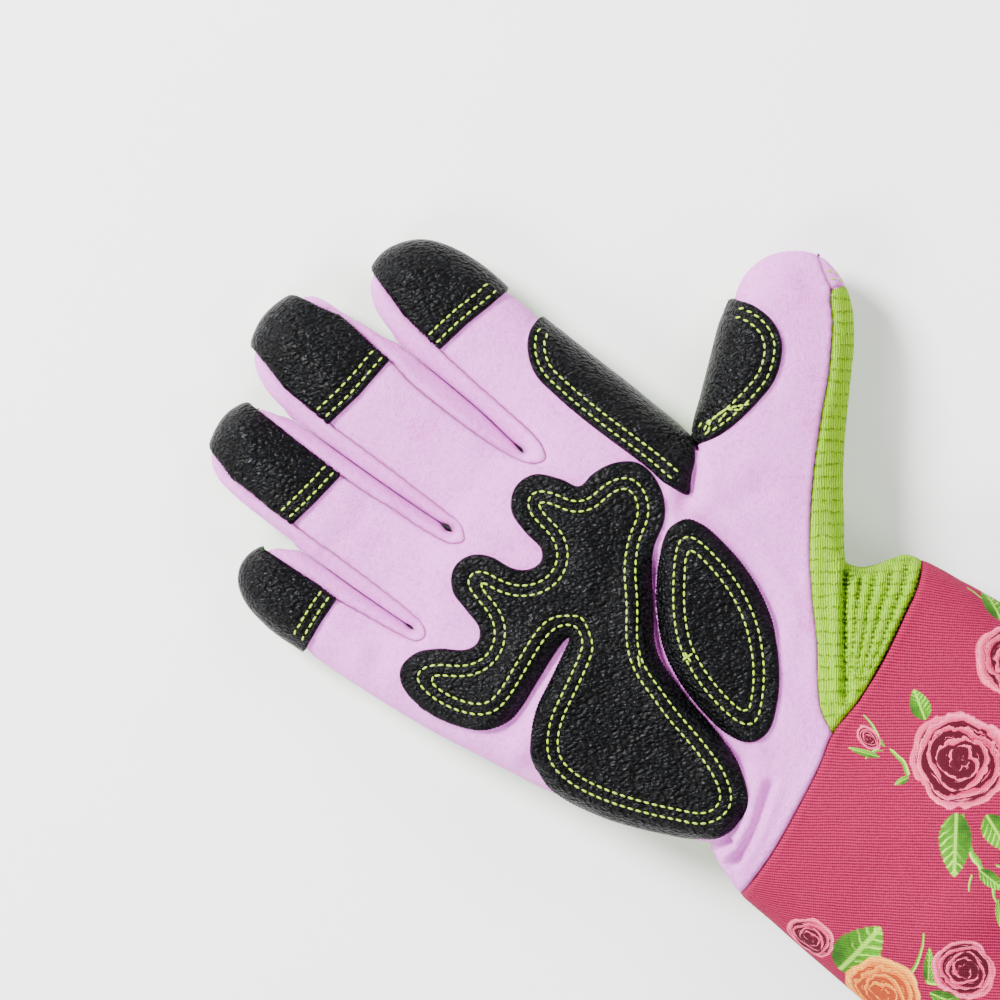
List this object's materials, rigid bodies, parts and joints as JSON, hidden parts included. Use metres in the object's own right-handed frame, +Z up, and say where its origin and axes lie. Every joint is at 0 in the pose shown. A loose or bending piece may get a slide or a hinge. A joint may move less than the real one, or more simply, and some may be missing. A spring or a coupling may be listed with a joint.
{
  "type": "rose pruning gauntlet",
  "caption": "Long-cuffed gardening glove for the right hand, palm up, with black palm patches, a knit back and a wide printed cuff that is open at its mouth.",
  "frame": {"origin": "under the middle of the glove's bounding box, on the surface it lies on", "axes": "+Y along the glove towards the fingertips, +X towards the thumb, +Z up out of the palm"},
  "size_m": [0.1648, 0.403, 0.062],
  "materials": {
    "suede_lilac": "matte",
    "leather_black": "satin",
    "knit_green": "matte",
    "knit_pink": "matte"
  },
  "bodies": {
    "root": {"palm_panel": "suede_lilac", "fourchette_little_ring": "suede_lilac", "fourchette_ring_middle": "suede_lilac", "fourchette_middle_index": "suede_lilac", "thumb_tip_cap": "suede_lilac", "palm_patch": "leather_black", "thenar_patch": "leather_black", "index_side_patch": "leather_black", "thumb_patch": "leather_black", "little_tip_patch": "leather_black", "ring_tip_patch": "leather_black", "middle_tip_patch": "leather_black", "index_tip_patch": "leather_black", "back_panel": "knit_green", "cuff": "knit_pink"}
  },
  "joints": []
}
